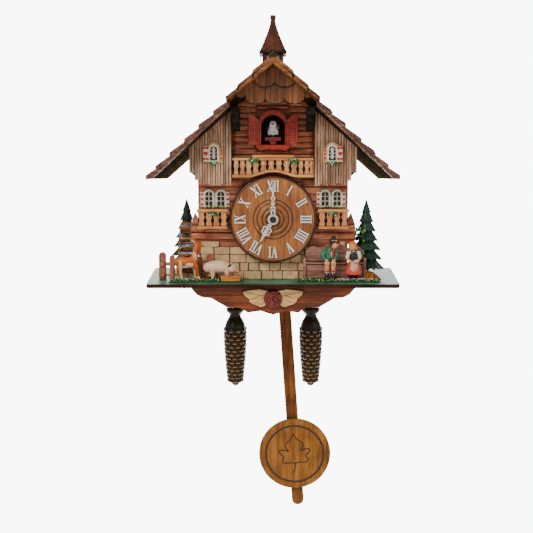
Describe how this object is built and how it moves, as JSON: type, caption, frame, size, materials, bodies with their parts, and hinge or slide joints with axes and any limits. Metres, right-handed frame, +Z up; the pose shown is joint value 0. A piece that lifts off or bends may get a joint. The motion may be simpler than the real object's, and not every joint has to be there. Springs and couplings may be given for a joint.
{
  "type": "cuckoo clock",
  "caption": "Chalet-style wall clock with a steep shingled roof, spire, balconies, opening cuckoo door, round dial, yard figures, cone weights and a swinging wooden pendulum.",
  "frame": {"origin": "centre of the hanging hole, on the back plane that lies against the wall", "axes": "+Z up, +Y into the wall, +X to the right when the clock is seen from the front"},
  "size_m": [0.277, 0.17, 0.5445],
  "materials": {
    "back_panel": "satin",
    "back_cover": "matt",
    "cover_screws": "plain",
    "hanger_eyelet": "polished",
    "side_walls": "stained",
    "log_front": "stained",
    "stone_front": "painted",
    "base_platform": "painted",
    "base_apron": "stained",
    "apron_carvings": "satin",
    "roof_boards": "stained",
    "roof_shingles": "stained",
    "barge_boards": "stained",
    "gable_rafters": "stained",
    "gable_panel": "stained",
    "roof_brackets": "stained",
    "spire": "stained",
    "siding_panels": "weathered",
    "door_frame": "satin",
    "bird_chamber": "matt",
    "balcony_main": "stained",
    "windows": "painted",
    "side_balconies": "stained",
    "flower_garlands": "painted",
    "dial": "turned",
    "dial_numerals": "cream",
    "dial_nut": "plain",
    "fence_and_trough": "stained",
    "deer": "painted",
    "pig": "painted",
    "fir_trees": "flocked",
    "bench": "stained",
    "flower_meadows": "flocked",
    "movement_case": "matt",
    "movement_cover": "matt",
    "circuit_board": "plain",
    "batteries": "wrapped",
    "speaker": "plain",
    "chain_staples": "plain",
    "pendulum_drive": "matt",
    "shutter_left": "satin",
    "shutter_right": "satin",
    "cuckoo_bird": "painted",
    "bird_carriage": "satin",
    "minute_arbor": "plain",
    "minute_hand": "cream",
    "hand_nut": "plain",
    "hour_wheel": "plain",
    "hour_hand": "cream",
    "motion_wheel": "plain",
    "boy": "painted",
    "girl": "painted",
    "mill_wheel": "painted",
    "pendulum_wire": "plain",
    "pendulum_rod": "satin",
    "pendulum_bob": "satin",
    "cone_left": "painted",
    "cone_right": "painted",
    "chain_left": "plain",
    "chain_right": "plain"
  },
  "bodies": {
    "clock_case": {"back_panel": "back_panel", "back_cover": "back_cover", "cover_screws": "cover_screws", "hanger_eyelet": "hanger_eyelet", "side_walls": "side_walls", "log_front": "log_front", "stone_front": "stone_front", "base_platform": "base_platform", "base_apron": "base_apron", "apron_carvings": "apron_carvings", "roof_boards": "roof_boards", "roof_shingles": "roof_shingles", "barge_boards": "barge_boards", "gable_rafters": "gable_rafters", "gable_panel": "gable_panel", "roof_brackets": "roof_brackets", "spire": "spire", "siding_panels": "siding_panels", "door_frame": "door_frame", "bird_chamber": "bird_chamber", "balcony_main": "balcony_main", "windows": "windows", "side_balconies": "side_balconies", "flower_garlands": "flower_garlands", "dial": "dial", "dial_numerals": "dial_numerals", "dial_nut": "dial_nut", "fence_and_trough": "fence_and_trough", "deer": "deer", "pig": "pig", "fir_trees": "fir_trees", "bench": "bench", "flower_meadows": "flower_meadows", "movement_case": "movement_case", "movement_cover": "movement_cover", "circuit_board": "circuit_board", "batteries": "batteries", "speaker": "speaker", "chain_staples": "chain_staples", "pendulum_drive": "pendulum_drive"},
    "minute_work": {"minute_arbor": "minute_arbor", "minute_hand": "minute_hand", "hand_nut": "hand_nut"},
    "hour_work": {"hour_wheel": "hour_wheel", "hour_hand": "hour_hand"},
    "motion_work": {"motion_wheel": "motion_wheel"},
    "bird_work": {"bird_carriage": "bird_carriage", "cuckoo_bird": "cuckoo_bird"},
    "left_shutter": {"shutter_left": "shutter_left"},
    "right_shutter": {"shutter_right": "shutter_right"},
    "pendulum": {"pendulum_wire": "pendulum_wire", "pendulum_rod": "pendulum_rod", "pendulum_bob": "pendulum_bob"},
    "left_weight": {"chain_left": "chain_left", "cone_left": "cone_left"},
    "right_weight": {"chain_right": "chain_right", "cone_right": "cone_right"},
    "mill": {"mill_wheel": "mill_wheel"},
    "boy_figure": {"boy": "boy"},
    "girl_figure": {"girl": "girl"}
  },
  "joints": [
    {"name": "minute_turn", "type": "hinge", "parent": "clock_case", "child": "minute_work", "pos_m": [0, -0.1, -0.1218], "axis": [0, 1, 0], "continuous": true},
    {"name": "motion_turn", "type": "hinge", "parent": "clock_case", "child": "motion_work", "pos_m": [0.012, -0.088, -0.1218], "axis": [0, 1, 0], "continuous": true},
    {"name": "hour_turn", "type": "hinge", "parent": "clock_case", "child": "hour_work", "pos_m": [0, -0.1, -0.1218], "axis": [0, 1, 0], "continuous": true},
    {"name": "bird_slide", "type": "slide", "parent": "clock_case", "child": "bird_work", "axis": [0, 1, 0], "range_m": [0, 0.02]},
    {"name": "shutter_left_hinge", "type": "hinge", "parent": "clock_case", "child": "left_shutter", "pos_m": [-0.0132, -0.1107, -0.035], "axis": [0, 0, 1], "range_deg": [0, 165]},
    {"name": "shutter_right_hinge", "type": "hinge", "parent": "clock_case", "child": "right_shutter", "pos_m": [0.0132, -0.1107, -0.035], "axis": [0, 0, 1], "range_deg": [-165, 0]},
    {"name": "pendulum_swing", "type": "hinge", "parent": "clock_case", "child": "pendulum", "pos_m": [0, -0.0375, -0.038], "axis": [0, 1, 0], "range_deg": [-0.5, 8.5]},
    {"name": "weight_left_swing", "type": "hinge", "parent": "clock_case", "child": "left_weight", "pos_m": [-0.0416, -0.07, -0.193], "axis": [0, 1, 0], "range_deg": [-8, 8]},
    {"name": "weight_right_swing", "type": "hinge", "parent": "clock_case", "child": "right_weight", "pos_m": [0.0416, -0.07, -0.193], "axis": [0, 1, 0], "range_deg": [-8, 8]},
    {"name": "mill_turn", "type": "hinge", "parent": "clock_case", "child": "mill", "pos_m": [-0.09175, -0.07, -0.1555], "axis": [1, 0, 0], "continuous": true},
    {"name": "boy_lean", "type": "hinge", "parent": "clock_case", "child": "boy_figure", "pos_m": [0.0585, -0.124, -0.1814], "axis": [0, 1, 0], "range_deg": [-3, 2]},
    {"name": "girl_lean", "type": "hinge", "parent": "clock_case", "child": "girl_figure", "pos_m": [0.0825, -0.124, -0.1814], "axis": [0, 1, 0], "range_deg": [-2, 3]}
  ],
  "couplings": [
    {"joint": "motion_turn", "follows": "minute_turn", "ratio": -0.33333},
    {"joint": "hour_turn", "follows": "minute_turn", "ratio": 0.083333},
    {"joint": "shutter_left_hinge", "follows": "bird_slide", "rad_per_m": 143.9},
    {"joint": "shutter_right_hinge", "follows": "bird_slide", "rad_per_m": -143.9},
    {"joint": "girl_lean", "follows": "boy_lean", "ratio": -1}
  ]
}
